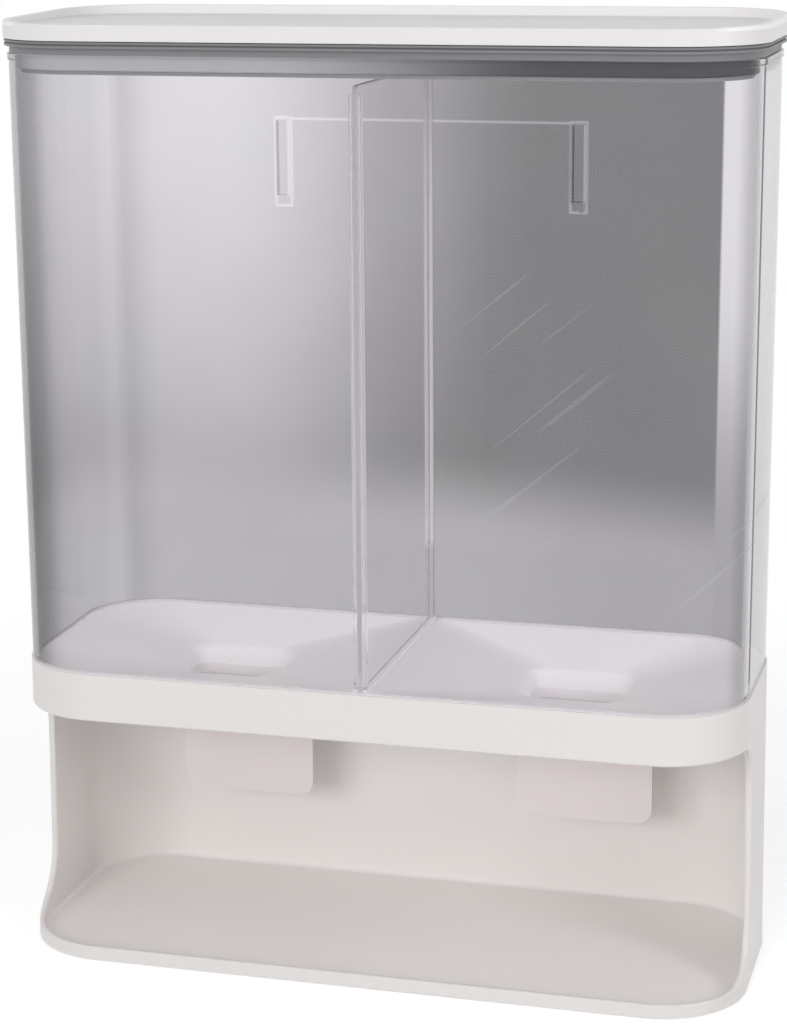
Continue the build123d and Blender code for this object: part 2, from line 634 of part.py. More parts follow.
def lid_liner():
    """Pan that closes the lid from below, with an outward lip that keeps the seal on."""
    inset = liner_inset()
    lip_high = seal_low_z() - SEAT_GAP / 2
    lip_low = lip_high - LINER_LIP
    pan = slab(inset, lip_low, LID_Z) - slab(inset + LINER_WALL, lip_low + LINER_WALL, LID_Z + OVERRUN)
    return pan + ring(inset - LINER_LIP_REACH, inset + LINER_WALL, lip_low, lip_high)


def lid_seal():
    """Ribbed ring: flange under the lid, drawn-in neck on the hopper rim, skirt inside the mouth."""
    inner = liner_inset() - SEAT_GAP / 2
    flange_low = LID_Z - SEAL_FLANGE_HEIGHT
    groove_low = (flange_low + LID_Z - SEAL_GROOVE_HEIGHT) / 2
    groove = lid_slab(-OVERRUN, groove_low, groove_low + SEAL_GROOVE_HEIGHT)
    groove -= lid_slab(SEAL_FLANGE_INSET + SEAL_GROOVE_DEPTH, groove_low, groove_low + SEAL_GROOVE_HEIGHT)
    seal = lid_slab(SEAL_FLANGE_INSET, flange_low, LID_Z) - groove
    seal += lid_slab(SEAL_FLANGE_INSET + SEAL_NECK_INSET, RIM_Z, flange_low)
    seal += slab(INNER_INSET + SLIDE_GAP, seal_low_z(), RIM_Z)
    return seal - slab(inner, seal_low_z() - OVERRUN, LID_Z + OVERRUN)


NODES = {
    "base_housing": base_housing(),
    "anti_slip_feet": anti_slip_feet(),
    "hopper_floor": hopper_floor(),
    "floor_screws": floor_screws(),
    "container_gasket": container_gasket(),
    "container": container(),
    "divider": divider(),
    "lid_cover": lid_cover(),
    "lid_liner": lid_liner(),
    "lid_seal": lid_seal(),
}
ONE_SIDE = {
    "outlet_chute": outlet_chute(),
    "dispensing_lever": dispensing_lever(),
    "gate_pad": gate_pad(),
    "hinge_pin": hinge_pin(),
    "return_spring": return_spring(),
}
for side, offset in SIDES.items():
    for name, shape in ONE_SIDE.items():
        NODES[f"{name}_{side}"] = Pos(offset, 0, 0) * shape
    NODES[f"chute_screws_{side}"] = chute_screws(offset)

os.makedirs("parts", exist_ok=True)
for name, shape in NODES.items():
    export_step(shape, f"parts/{name}.step")
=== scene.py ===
import math
import bmesh
import bpy
from mathutils import Matrix, Vector


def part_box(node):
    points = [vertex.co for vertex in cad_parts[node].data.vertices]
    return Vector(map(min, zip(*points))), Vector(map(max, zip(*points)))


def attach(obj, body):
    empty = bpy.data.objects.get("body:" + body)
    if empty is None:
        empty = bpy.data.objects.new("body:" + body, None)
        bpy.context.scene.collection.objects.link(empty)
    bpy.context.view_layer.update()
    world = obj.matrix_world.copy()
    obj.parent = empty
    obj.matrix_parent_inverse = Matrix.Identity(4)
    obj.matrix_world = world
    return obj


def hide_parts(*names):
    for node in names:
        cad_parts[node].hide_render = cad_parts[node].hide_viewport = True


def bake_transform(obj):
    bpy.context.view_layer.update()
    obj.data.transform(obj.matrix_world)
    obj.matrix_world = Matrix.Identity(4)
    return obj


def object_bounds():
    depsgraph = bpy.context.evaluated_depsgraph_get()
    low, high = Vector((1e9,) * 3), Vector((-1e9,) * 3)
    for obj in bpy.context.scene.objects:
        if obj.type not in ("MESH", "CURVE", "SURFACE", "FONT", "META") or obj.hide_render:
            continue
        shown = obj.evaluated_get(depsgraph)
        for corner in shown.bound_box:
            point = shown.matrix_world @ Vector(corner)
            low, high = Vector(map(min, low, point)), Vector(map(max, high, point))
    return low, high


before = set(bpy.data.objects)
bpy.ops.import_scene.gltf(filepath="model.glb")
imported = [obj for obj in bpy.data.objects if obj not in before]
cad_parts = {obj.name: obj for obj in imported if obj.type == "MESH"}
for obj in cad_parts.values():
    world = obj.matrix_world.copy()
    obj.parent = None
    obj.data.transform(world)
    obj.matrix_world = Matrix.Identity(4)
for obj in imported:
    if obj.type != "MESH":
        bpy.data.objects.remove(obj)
cad_low, cad_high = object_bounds()

# Studio: a wide pale floor under soft light from the left front, with a lamp on the right and a weak one
# on the tray, all hidden from reflections. The camera stands where the photograph was taken.
FLOOR_REACH = 40.0
FLOOR_COLOUR = (0.86, 0.86, 0.86, 1.0)
FLOOR_SPECK = (0.80, 0.80, 0.80, 1.0)
FLOOR_LIFT = 0.44
SHADOW_REACH = (0.30, 0.65)
SKY_LEVEL = 0.50
LENS = 90.89
CAMERA_PLACE = (0.29734, -1.09151, 0.47793)
CAMERA_YAW = 15.2875
CAMERA_PITCH = 13.6558
CAMERA_ROLL = 0.4098
LAMPS = {
    "front_softbox": {"place": (-0.62, -2.25, 0.75), "size": (1.3, 0.8), "spread": 180, "power": 18.0},
    "tray_softbox": {"place": (-0.10, -1.05, 0.95), "size": (0.6, 0.3), "spread": 50, "power": 0.18,
                     "aim": (0, -0.02, 0.02)},
    "right_softbox": {"place": (0.80, -0.35, 0.45), "size": (0.25, 0.4), "spread": 180, "power": 1.7},
}


def feed(tree, socket, value):
    """Sets a socket to a value, or links another node's output to it."""
    if isinstance(value, bpy.types.NodeSocket):
        tree.links.new(value, socket)
    else:
        socket.default_value = value


def put(tree, kind, settings=None, **sockets):
    """A node in the tree with its settings; an underscore in a socket's name stands for a space."""
    node = tree.nodes.new(kind)
    for name, value in (settings or {}).items():
        setattr(node, name, value)
    for name, value in sockets.items():
        feed(tree, node.inputs[name.replace("_", " ")], value)
    return node


def reckon(tree, operation, *values, clamp=False):
    """The output of a Math node on values or sockets."""
    node = tree.nodes.new("ShaderNodeMath")
    node.operation = operation
    node.use_clamp = clamp
    for socket, value in zip(node.inputs, values):
        feed(tree, socket, value)
    return node.outputs["Value"]


def ramp(tree, value, start, end, low=0.0, high=1.0):
    """A smooth change of a value from one place to another."""
    node = put(tree, "ShaderNodeMapRange", {"interpolation_type": "SMOOTHSTEP"}, Value=value)
    for name, number in (("From Min", start), ("From Max", end), ("To Min", low), ("To Max", high)):
        feed(tree, node.inputs[name], number)
    return node.outputs["Result"]


def new_material(name):
    """An empty node material, its tree and its output node."""
    material = bpy.data.materials.new(name)
    material.use_nodes = True
    material.node_tree.nodes.clear()
    return material, material.node_tree, material.node_tree.nodes.new("ShaderNodeOutputMaterial")


def seen_directly(tree):
    """1 for rays from the camera, a mirror or a clear wall, 0 for rays that only carry light."""
    path = put(tree, "ShaderNodeLightPath")
    mirrored = reckon(tree, "MAXIMUM", path.outputs["Is Glossy Ray"], path.outputs["Is Transmission Ray"])
    return reckon(tree, "MAXIMUM", path.outputs["Is Camera Ray"], mirrored)


def pale_floor():
    """Diffuse floor that keeps the shadow near the object and is plain white farther off."""
    material, tree, output = new_material("pale_floor")
    coords = put(tree, "ShaderNodeTexCoord")
    speckle = put(tree, "ShaderNodeTexNoise", Vector=coords.outputs["Object"], Scale=30.0)
    shade = put(tree, "ShaderNodeMix", {"data_type": "RGBA"})
    feed(tree, shade.inputs["Factor"], reckon(tree, "MULTIPLY", speckle.outputs["Fac"], 0.2))
    feed(tree, shade.inputs[6], FLOOR_COLOUR)
    feed(tree, shade.inputs[7], FLOOR_SPECK)
    matt = put(tree, "ShaderNodeBsdfDiffuse", Color=shade.outputs[2])
    seen = seen_directly(tree)
    glow = put(tree, "ShaderNodeEmission", Strength=reckon(tree, "MULTIPLY", seen, FLOOR_LIFT))
    near = put(tree, "ShaderNodeAddShader")
    feed(tree, near.inputs[0], matt.outputs["BSDF"])
    feed(tree, near.inputs[1], glow.outputs["Emission"])
    out = put(tree, "ShaderNodeVectorMath", {"operation": "LENGTH"}, Vector=coords.outputs["Object"])
    far = ramp(tree, out.outputs["Value"], *SHADOW_REACH)
    paper = put(tree, "ShaderNodeMixShader", Fac=reckon(tree, "MULTIPLY", seen, far))
    feed(tree, paper.inputs[1], near.outputs["Shader"])
    feed(tree, paper.inputs[2], put(tree, "ShaderNodeEmission", Strength=1.0).outputs["Emission"])
    feed(tree, output.inputs["Surface"], paper.outputs["Shader"])
    return material


def linked(name, data):
    """A new object in the scene."""
    piece = bpy.data.objects.new(name, data)
    bpy.context.scene.collection.objects.link(piece)
    return piece


floor_mesh = bpy.data.meshes.new("studio_floor")
floor_corners = [Vector((x, y, 0)) for x, y in ((-1, -1), (1, -1), (1, 1), (-1, 1))]
floor_mesh.from_pydata([corner * FLOOR_REACH for corner in floor_corners], [], [(0, 1, 2, 3)])
floor_mesh.materials.append(pale_floor())
linked("studio_floor", floor_mesh)

world = bpy.data.worlds.new("studio")
bpy.context.scene.world = world
world.use_nodes = True
sky = world.node_tree
sky.nodes.clear()
level = put(sky, "ShaderNodeMapRange", Value=seen_directly(sky), To_Min=SKY_LEVEL, To_Max=1.0)
white_sky = put(sky, "ShaderNodeBackground", Color=(1.0, 1.0, 1.0, 1.0), Strength=level.outputs["Result"])
sky_output = sky.nodes.new("ShaderNodeOutputWorld")
feed(sky, sky_output.inputs["Surface"], white_sky.outputs["Background"])

middle = (cad_low + cad_high) / 2
for name, lamp in LAMPS.items():
    light = bpy.data.lights.new(name, "AREA")
    light.shape = "RECTANGLE"
    light.size, light.size_y = lamp["size"]
    light.energy = lamp["power"]
    stand = linked(name, light)
    stand.location = lamp["place"]
    stand.visible_glossy = False
    stand.visible_transmission = False
    light.spread = math.radians(lamp["spread"])
    aim = Vector(lamp.get("aim", middle))
    stand.rotation_euler = (aim - stand.location).to_track_quat("-Z", "Y").to_euler()

camera = linked("camera", bpy.data.cameras.new("camera"))
camera.data.lens = LENS
turn = Matrix.Rotation(math.radians(CAMERA_YAW), 4, "Z")
tilt = Matrix.Rotation(math.radians(90 - CAMERA_PITCH), 4, "X")
lean = Matrix.Rotation(math.radians(-CAMERA_ROLL), 4, "Z")
camera.matrix_world = Matrix.Translation(CAMERA_PLACE) @ turn @ tilt @ lean
bpy.context.scene.camera = camera
bpy.context.scene.view_settings.view_transform = "Standard"

# Base housing: collar, side walls, back and tray in one injection moulding of white ABS with a fine
# satin skin from the mould. The hopper drops into its collar and a cup slides into its bay.
HOUSING_COLOUR = (0.765, 0.735, 0.725, 1.0)
# The lighter white inside the bay is painted light.
BAY_PAINTED_LIGHT_COLOUR = (0.915, 0.88, 0.862, 1.0)
BAY_Z = (0.1140, 0.1130)
PLAN_MIDDLE_Y = 0.00075
PLAN_CORNER = (0.127, 0.0265)
PLAN_REACH = (0.0368, 0.0356)
HOUSING_SHEEN = 0.36
PLASTIC_IOR = 1.5


def new_group(name, *sockets):
    """An empty shader group with its sockets, and the sockets at both of its ends."""
    group = bpy.data.node_groups.new(name, "ShaderNodeTree")
    for label, way, kind in sockets:
        group.interface.new_socket(name=label, in_out=way, socket_type=f"NodeSocket{kind}")
    return group, group.nodes.new("NodeGroupInput").outputs, group.nodes.new("NodeGroupOutput").inputs


def moulded_skin():
    """Group: the mottle, sheen and orange peel of an injection-moulded skin, with stray scuffs."""
    group, given, result = new_group(
        "moulded_skin", ("Colour", "INPUT", "Color"), ("Mottle", "INPUT", "Float"),
        ("Sheen", "INPUT", "Float"), ("Peel Scale", "INPUT", "Float"), ("Scuff", "INPUT", "Float"),
        ("Colour", "OUTPUT", "Color"), ("Roughness", "OUTPUT", "Float"), ("Height", "OUTPUT", "Float"))
    place = put(group, "ShaderNodeTexCoord").outputs["Object"]
    cloud = put(group, "ShaderNodeTexNoise", Vector=place, Scale=8.0, Detail=3.0).outputs["Fac"]
    drift = reckon(group, "MULTIPLY", reckon(group, "SUBTRACT", cloud, 0.5), given["Mottle"])
    slant = put(group, "ShaderNodeMapping", Vector=place, Rotation=(0.3, 0.5, 0.9), Scale=(16.0, 420.0, 90.0))
    streak = put(group, "ShaderNodeTexNoise", Vector=slant.outputs["Vector"], Scale=1.0, Detail=2.0)
    thin = put(group, "ShaderNodeMapRange", Value=streak.outputs["Fac"], From_Min=0.70, From_Max=0.76)
    scuffs = reckon(group, "MULTIPLY", thin.outputs["Result"], given["Scuff"])
    worn = reckon(group, "MULTIPLY", scuffs, 0.05)
    value = reckon(group, "SUBTRACT", reckon(group, "ADD", drift, 1.0), worn)
    tone = put(group, "ShaderNodeHueSaturation", Color=given["Colour"], Value=value)
    feed(group, result["Colour"], tone.outputs["Color"])
    wipe = put(group, "ShaderNodeTexNoise", Vector=place, Scale=35.0, Detail=4.0, Distortion=0.3)
    rub = put(group, "ShaderNodeMapRange", Value=wipe.outputs["Fac"], From_Min=0.3, From_Max=0.75,
              To_Min=-0.02, To_Max=0.03)
    gloss = reckon(group, "ADD", given["Sheen"], rub.outputs["Result"])
    dulled = reckon(group, "ADD", gloss, reckon(group, "MULTIPLY", scuffs, 0.15), clamp=True)
    feed(group, result["Roughness"], dulled)
    peel = put(group, "ShaderNodeTexNoise", Vector=place, Scale=given["Peel Scale"], Detail=2.0)
    feed(group, result["Height"], reckon(group, "SUBTRACT", peel.outputs["Fac"], scuffs))
    return group


skin_group = moulded_skin()


def moulded_plastic(name, colour, mottle=0.05, sheen=0.36, peel_scale=900.0, peel=0.06, scuff=0.1):
    """Satin plastic or rubber with a moulded skin of its own values; the colour may be made by a call."""
    material, tree, output = new_material(name)
    base = colour(tree) if callable(colour) else colour
    skin = put(tree, "ShaderNodeGroup", {"node_tree": skin_group}, Colour=base, Mottle=mottle,
               Sheen=sheen, Peel_Scale=peel_scale, Scuff=scuff)
    bump = put(tree, "ShaderNodeBump", Strength=peel, Distance=0.0004, Height=skin.outputs["Height"])
    plastic = put(tree, "ShaderNodeBsdfPrincipled", Base_Color=skin.outputs["Colour"],
                  Roughness=skin.outputs["Roughness"], Normal=bump.outputs["Normal"])
    plastic.inputs["IOR"].default_value = PLASTIC_IOR
    feed(tree, output.inputs["Surface"], plastic.outputs["BSDF"])
    return material


def dress(node, material):
    """Gives a CAD node its finish."""
    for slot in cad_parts[node].material_slots:
        slot.material = material


def bay_painted_light_tone(tree):
    """The housing's white, with painted light making it lighter inside the bay, as fitted to the photo's
    brightness.
    """
    place = put(tree, "ShaderNodeTexCoord").outputs["Object"]
    split = put(tree, "ShaderNodeSeparateXYZ", Vector=place).outputs
    depth = reckon(tree, "SUBTRACT", split["Y"], PLAN_MIDDLE_Y)
    squares = []
    for value, corner in zip((split["X"], depth), PLAN_CORNER):
        past = reckon(tree, "SUBTRACT", reckon(tree, "ABSOLUTE", value), corner)
        squares.append(reckon(tree, "POWER", reckon(tree, "MAXIMUM", past, 0.0), 2.0))
    outward = reckon(tree, "SQRT", reckon(tree, "ADD", *squares))
    inside = reckon(tree, "MULTIPLY", ramp(tree, outward, *PLAN_REACH), ramp(tree, split["Z"], *BAY_Z))
    # Painted light inside the bay.
    tone = put(tree, "ShaderNodeMix", {"data_type": "RGBA"}, Factor=inside, A=HOUSING_COLOUR, B=BAY_PAINTED_LIGHT_COLOUR)
    return tone.outputs["Result"]


dress("base_housing", moulded_plastic("housing_white", bay_painted_light_tone, sheen=HOUSING_SHEEN))

# Anti-slip feet: four soft grey rubber discs glued in shallow pockets under the tray. Each has a
# rolled edge and two pressed rings that grip the shelf.
FOOT_COLOUR = (0.30, 0.30, 0.31, 1.0)
FOOT_SIDES = 48
FOOT_EDGE = 0.0005
FOOT_RING_DEPTH = 0.00025
FOOT_RING_SHARES = (0.22, 0.40, 0.46, 0.64, 0.70)
FOOT_TURN = 6.28
TURNED_SHARP_ANGLE = 35


def solids_of(node):
    """Lowest and highest corner of each separate solid of a CAD node."""
    mesh = bmesh.new()
    mesh.from_mesh(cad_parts[node].data)
    bmesh.ops.remove_doubles(mesh, verts=mesh.verts, dist=1e-6)
    waiting = set(mesh.verts)
    boxes = []
    while waiting:
        reached = [waiting.pop()]
        for vertex in reached:
            for edge in vertex.link_edges:
                other = edge.other_vert(vertex)
                if other in waiting:
                    waiting.remove(other)
                    reached.append(other)
        places = [vertex.co for vertex in reached]
        low = Vector([min(place[axis] for place in places) for axis in range(3)])
        high = Vector([max(place[axis] for place in places) for axis in range(3)])
        boxes.append((low, high))
    mesh.free()
    return sorted(boxes, key=lambda box: tuple(box[0]))


def turned(name, profile, sides):
    """Mesh turned about Z from a profile of radius and height, closed on the axis at both ends."""
    mesh = bmesh.new()
    rings = []
    for radius, height in profile[1:-1]:
        turns = [2 * math.pi * side / sides for side in range(sides)]
        rings.append([mesh.verts.new((radius * math.cos(a), radius * math.sin(a), height)) for a in turns])
    first = mesh.verts.new((0, 0, profile[0][1]))
    last = mesh.verts.new((0, 0, profile[-1][1]))
    for side in range(sides):
        after = (side + 1) % sides
        mesh.faces.new((first, rings[0][after], rings[0][side]))
        mesh.faces.new((last, rings[-1][side], rings[-1][after]))
        for inner, outer in zip(rings, rings[1:]):
            mesh.faces.new((inner[side], inner[after], outer[after], outer[side]))
    bmesh.ops.recalc_face_normals(mesh, faces=mesh.faces)
    data = bpy.data.meshes.new(name)
    mesh.to_mesh(data)
    mesh.free()
    return data


def on_points_tree():
    """Geometry tree: one made piece set on every point, turned by chance about Z."""
    tree = bpy.data.node_groups.new("set_on_points", "GeometryNodeTree")
    tree.interface.new_socket(name="Points", in_out="INPUT", socket_type="NodeSocketGeometry")
    tree.interface.new_socket(name="Piece", in_out="INPUT", socket_type="NodeSocketObject")
    tree.interface.new_socket(name="Turn", in_out="INPUT", socket_type="NodeSocketFloat")
    tree.interface.new_socket(name="Finish", in_out="INPUT", socket_type="NodeSocketMaterial")
    tree.interface.new_socket(name="Pieces", in_out="OUTPUT", socket_type="NodeSocketGeometry")
    given = tree.nodes.new("NodeGroupInput").outputs
    result = tree.nodes.new("NodeGroupOutput").inputs
    piece = put(tree, "GeometryNodeObjectInfo", Object=given["Piece"])
    chance = put(tree, "FunctionNodeRandomValue", {"data_type": "FLOAT"}, Seed=7)
    feed(tree, chance.inputs[3], given["Turn"])
    spin = put(tree, "ShaderNodeCombineXYZ", Z=chance.outputs[1])
    spread = put(tree, "GeometryNodeInstanceOnPoints", Points=given["Points"],
                 Instance=piece.outputs["Geometry"], Rotation=spin.outputs["Vector"])
    real = put(tree, "GeometryNodeRealizeInstances", Geometry=spread.outputs["Instances"])
    finished = put(tree, "GeometryNodeSetMaterial", Geometry=real.outputs["Geometry"],
                   Material=given["Finish"])
    feed(tree, result["Pieces"], finished.outputs["Geometry"])
    return tree


points_tree = on_points_tree()


def made_solid(piece, tree, **inputs):
    """Runs a geometry tree on a piece with these inputs and keeps the result as its plain mesh."""
    modifier = piece.modifiers.new(tree.name, "NODES")
    modifier.node_group = tree
    for item in tree.interface.items_tree:
        if item.in_out == "INPUT" and item.name in inputs:
            modifier[item.identifier] = inputs[item.name]
    bpy.context.view_layer.update()
    evaluated = piece.evaluated_get(bpy.context.evaluated_depsgraph_get())
    data = bpy.data.meshes.new_from_object(evaluated)
    piece.modifiers.clear()
    piece.data = data
    data.shade_smooth()
    data.set_sharp_from_angle(angle=math.radians(TURNED_SHARP_ANGLE))
    return piece


def set_on_points(name, made, places, turn, finish):
    """One piece with a copy of a made mesh at every place."""
    points = bpy.data.meshes.new(name)
    points.from_pydata(places, [], [])
    pattern = linked(f"{name}_pattern", made)
    piece = made_solid(linked(name, points), points_tree, Piece=pattern, Turn=turn, Finish=finish)
    bpy.data.objects.remove(pattern)
    return piece


foot_boxes = solids_of("anti_slip_feet")
foot_size = foot_boxes[0][1] - foot_boxes[0][0]
foot_radius = foot_size.x / 2
foot_profile = [(0, 0)]
for index, share in enumerate(FOOT_RING_SHARES):
    foot_profile.append((foot_radius * share, FOOT_RING_DEPTH * (index % 2)))
foot_profile += [(foot_radius - FOOT_EDGE, 0), (foot_radius - FOOT_EDGE * 0.3, FOOT_EDGE * 0.3)]
foot_profile += [(foot_radius, FOOT_EDGE), (foot_radius, foot_size.z), (0, foot_size.z)]
foot_places = [((low.x + high.x) / 2, (low.y + high.y) / 2, low.z) for low, high in foot_boxes]
foot_rubber = moulded_plastic("foot_rubber", FOOT_COLOUR, sheen=0.72, peel_scale=2400.0, peel=0.15, scuff=0.2)
foot_mesh = turned("foot", foot_profile, FOOT_SIDES)
feet = set_on_points("rubber_feet", foot_mesh, foot_places, FOOT_TURN, foot_rubber)
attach(feet, "housing")
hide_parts("anti_slip_feet")

# Hopper floor: a white polypropylene tray of two funnels that drops into the collar under the hopper
# and is screwed up from below. Grain slides down its smooth slopes to the outlets.
FLOOR_WHITE = (0.95, 0.92, 0.935, 1.0)
floor_white = moulded_plastic("floor_white", FLOOR_WHITE, mottle=0.06, sheen=0.30, peel=0.03, scuff=0)
dress("hopper_floor", floor_white)

# Floor screws: six zinc-plated self-tapping pan-head screws with a cross recess, driven up through
# the ledge of the housing into the bosses of the hopper floor.
STEEL_COLOUR = (0.62, 0.62, 0.60, 1.0)
SCREW_SIDES = 24
SCREW_DOME_SHARES = ((0.0, 0.0), (0.55, 0.06), (0.85, 0.24), (0.97, 0.52), (1.0, 0.75), (1.0, 1.0))
HEAD_HEIGHT_SHARE = 0.667
SHANK_SHARE = 0.48
THREAD_ROOT_SHARE = 0.78
RECESS_WIDTH = 0.0009
RECESS_LENGTH = 0.0034
RECESS_DEPTH = 0.0009
THREAD_PITCH = 0.0011
SCREW_TURN = 3.1
PLATING_SHARES = (0.88, 1.06)


def bright_steel(name, colour, roughness, drawing):
    """Bare or plated steel with fine drawing marks along the wire or bar."""
    material, tree, output = new_material(name)
    place = put(tree, "ShaderNodeTexCoord").outputs["Object"]
    drawn = put(tree, "ShaderNodeMapping", Vector=place, Scale=drawing)
    grain = put(tree, "ShaderNodeTexNoise", Vector=drawn.outputs["Vector"], Scale=1.0, Detail=3.0)
    marks = grain.outputs["Fac"]
    patches = put(tree, "ShaderNodeTexNoise", Vector=place, Scale=240.0, Detail=2.0).outputs["Fac"]
    shade = put(tree, "ShaderNodeMapRange", Value=patches, From_Min=0.3, From_Max=0.7,
                To_Min=PLATING_SHARES[0], To_Max=PLATING_SHARES[1])
    tone = put(tree, "ShaderNodeHueSaturation", Color=colour, Value=shade.outputs["Result"])
    gloss = put(tree, "ShaderNodeMapRange", Value=marks, To_Min=roughness - 0.08, To_Max=roughness + 0.12)
    bump = put(tree, "ShaderNodeBump", Strength=0.15, Distance=0.0001, Height=marks)
    metal = put(tree, "ShaderNodeBsdfPrincipled", Base_Color=tone.outputs["Color"],
                Roughness=gloss.outputs["Result"], Normal=bump.outputs["Normal"])
    metal.inputs["Metallic"].default_value = 1.0
    feed(tree, output.inputs["Surface"], metal.outputs["BSDF"])
    return material


def screw_mesh(size):
    """Pan-head screw of a CAD screw's size, head down: dome, cross recess and threaded shank."""
    head_radius = size.x / 2
    head_height = head_radius * HEAD_HEIGHT_SHARE
    shank_radius = head_radius * SHANK_SHARE
    profile = [(head_radius * out, head_height * up) for out, up in SCREW_DOME_SHARES]
    height = head_height
    crest = True
    while height < size.z - shank_radius:
        profile.append((shank_radius if crest else shank_radius * THREAD_ROOT_SHARE, height))
        height += THREAD_PITCH / 2
        crest = not crest
    profile += [(shank_radius * THREAD_ROOT_SHARE, size.z - shank_radius / 2), (0, size.z)]
    head = linked("screw_head", turned("screw_head", profile, SCREW_SIDES))
    cutters = []
    for length, width in ((RECESS_LENGTH, RECESS_WIDTH), (RECESS_WIDTH, RECESS_LENGTH)):
        mesh = bmesh.new()
        bmesh.ops.create_cube(mesh, size=1.0)
        bmesh.ops.scale(mesh, vec=(length, width, 2 * RECESS_DEPTH), verts=mesh.verts)
        data = bpy.data.meshes.new("recess")
        mesh.to_mesh(data)
        mesh.free()
        cutters.append(linked("recess", data))
        cut = head.modifiers.new("recess", "BOOLEAN")
        cut.object = cutters[-1]
        cut.solver = "EXACT"
    bpy.context.view_layer.update()
    data = bpy.data.meshes.new_from_object(head.evaluated_get(bpy.context.evaluated_depsgraph_get()))
    for spare in (head, *cutters):
        bpy.data.objects.remove(spare)
    return data


def place_screws(name, node, finish):
    """The screws of a CAD node, each made new in its place."""
    boxes = solids_of(node)
    made = screw_mesh(boxes[0][1] - boxes[0][0])
    places = [((low.x + high.x) / 2, (low.y + high.y) / 2, low.z) for low, high in boxes]
    screws = set_on_points(name, made, places, SCREW_TURN, finish)
    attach(screws, "housing")
    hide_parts(node)


screw_steel = bright_steel("screw_steel", STEEL_COLOUR, 0.30, (900.0, 900.0, 120.0))
place_screws("pan_head_floor_screws", "floor_screws", screw_steel)

# Hopper gasket: a flat ring of soft grey silicone in the collar groove, pressed by the hopper's tongue.
GASKET_COLOUR = (0.62, 0.61, 0.62, 1.0)
gasket_grey = moulded_plastic("gasket_silicone", GASKET_COLOUR, sheen=0.6, peel_scale=1800.0, scuff=0.0)
dress("container_gasket", gasket_grey)

# Outlet chutes: two white ABS spouts with hinge lugs, each screwed under an outlet of the hopper floor.
CHUTE_COLOUR = (0.83, 0.80, 0.79, 1.0)
chute_white = moulded_plastic("chute_white", CHUTE_COLOUR, sheen=0.42)
for side in ("left", "right"):
    dress(f"outlet_chute_{side}", chute_white)

# Chute screws: four more of the same pan-head screws up through the flange of each chute.
for side in ("left", "right"):
    place_screws(f"pan_head_chute_screws_{side}", f"chute_screws_{side}", screw_steel)

# Dispensing levers: L-shaped rockers in glossier white ABS. A cup pushes the hanging paddle back,
# and the flap under the spout swings down.
LEVER_COLOUR = (0.84, 0.775, 0.765, 1.0)
lever_white = moulded_plastic("lever_white", LEVER_COLOUR, mottle=0.04, sheen=0.30)
for side in ("left", "right"):
    dress(f"dispensing_lever_{side}", lever_white)

# Gate pads: soft white silicone pads glued on the flaps that close the spouts.
PAD_COLOUR = (0.74, 0.73, 0.72, 1.0)
pad_silicone = moulded_plastic("pad_silicone", PAD_COLOUR, sheen=0.65, peel_scale=2000.0, peel=0.1, scuff=0.1)
for side in ("left", "right"):
    dress(f"gate_pad_{side}", pad_silicone)

# Hinge pins: headed stainless pins through the lugs of the chutes and the hubs of the levers.
PIN_COLOUR = (0.66, 0.65, 0.63, 1.0)
pin_steel = bright_steel("pin_steel", PIN_COLOUR, 0.22, (120.0, 1600.0, 1600.0))
for side in ("left", "right"):
    dress(f"hinge_pin_{side}", pin_steel)

# Return springs: torsion springs wound from hard-drawn wire on the pins, which shut the gates. One leg
# stays under the chute's flange and the other goes with the lever, so the coil winds up between them.
SPRING_COLOUR = (0.50, 0.50, 0.50, 1.0)
SPRING_SHARP_ANGLE = 50
spring_steel = bright_steel("spring_steel", SPRING_COLOUR, 0.34, (700.0, 700.0, 700.0))


def wound_spring(side):
    """A copy of one CAD spring, smoothed and finished in spring steel, in place of the CAD node."""
    node = f"return_spring_{side}"
    mesh = bmesh.new()
    mesh.from_mesh(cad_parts[node].data)
    bmesh.ops.remove_doubles(mesh, verts=mesh.verts, dist=1e-6)
    data = bpy.data.meshes.new(f"torsion_spring_{side}")
    mesh.to_mesh(data)
    mesh.free()
    data.shade_smooth()
    data.set_sharp_from_angle(angle=math.radians(SPRING_SHARP_ANGLE))
    data.materials.append(spring_steel)
    spring = linked(f"torsion_spring_{side}", data)
    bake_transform(spring)
    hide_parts(node)


for side in ("left", "right"):
    wound_spring(side)

# Hopper wall: one clear moulding, taken as styrene, with the divider guides, the rim bead and the bosses
# of the wall hanger. Its grey by place is painted light and shade, with painted highlights, fitted to the
# photo's brightness, and its index is set below styrene's so that reflections don't veil it.
CLEAR_IOR = 1.2
CLEAR_TINT = (1.0, 0.985, 1.012)
FRONT_CLEAR_SHARE = 0.99
# Behind BACK_Y the wall is painted shade, lifted by a painted pool of light round the GLOW centre.
BACK_Y = (0.025, 0.050)
GLOW_X = -0.115
GLOW_Z = 0.395
GLOW_REACH_X = 0.175
GLOW_REACH_Z = 0.34
GLOW_SHARES = (0.755, 0.212)
# A painted band of light and shade across the lower part of the wall, lighter on the left.
LOW_ZONE_Z = (0.222, 0.178)
LOW_ZONE_X = (-0.16, 0.16)
LOW_ZONE_SLANT = 0.06
LOW_ZONE_SHARES = (0.485, 0.405)
# Painted stripes of light and shade down the left end.
LEFT_END_X = (-0.118, -0.130)
LEFT_END_Y = (-0.030, 0.0655)
LEFT_BAND_SHARES = ((0.0, 0.66), (0.15, 0.60), (0.30, 0.84), (0.45, 0.94), (0.58, 0.97), (0.78, 0.95),
                    (0.83, 1.0), (0.875, 1.0), (0.895, 0.84), (0.94, 0.86), (0.965, 1.0))
LEFT_FRONT_Y = (-0.062, -0.050)
